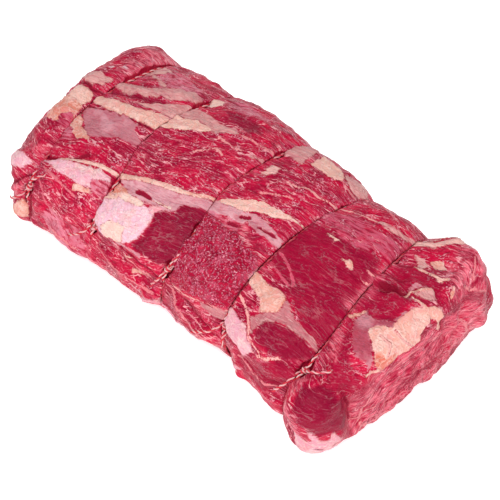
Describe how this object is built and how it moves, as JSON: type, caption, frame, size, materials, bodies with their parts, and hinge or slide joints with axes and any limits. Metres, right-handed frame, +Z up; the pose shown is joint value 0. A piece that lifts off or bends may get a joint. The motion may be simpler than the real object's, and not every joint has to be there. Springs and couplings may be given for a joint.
{
  "type": "raw rolled beef joint",
  "caption": "Boned and rolled raw beef roasting joint, a long flattened roll with rounded ends, pulled in by loops of red and white butcher's twine knotted along one side.",
  "frame": {"origin": "centre of the bounding box in plan, at the bottom of the flattened underside it lies on", "axes": "+X along the roll from the narrower end to the cut end, -Y to the near side where the knots are, +Z up"},
  "size_m": [0.3228, 0.179, 0.0851],
  "materials": {
    "raw_beef": "moist raw lean with fat seams and silverskin, satin with wet highlights",
    "twine": "twisted red and white cotton twine, damp"
  },
  "bodies": {
    "root": {"beef": "raw_beef", "twine_tie_1": "twine", "twine_tie_2": "twine", "twine_tie_3": "twine", "twine_tie_4": "twine", "twine_tie_5": "twine"}
  },
  "joints": []
}
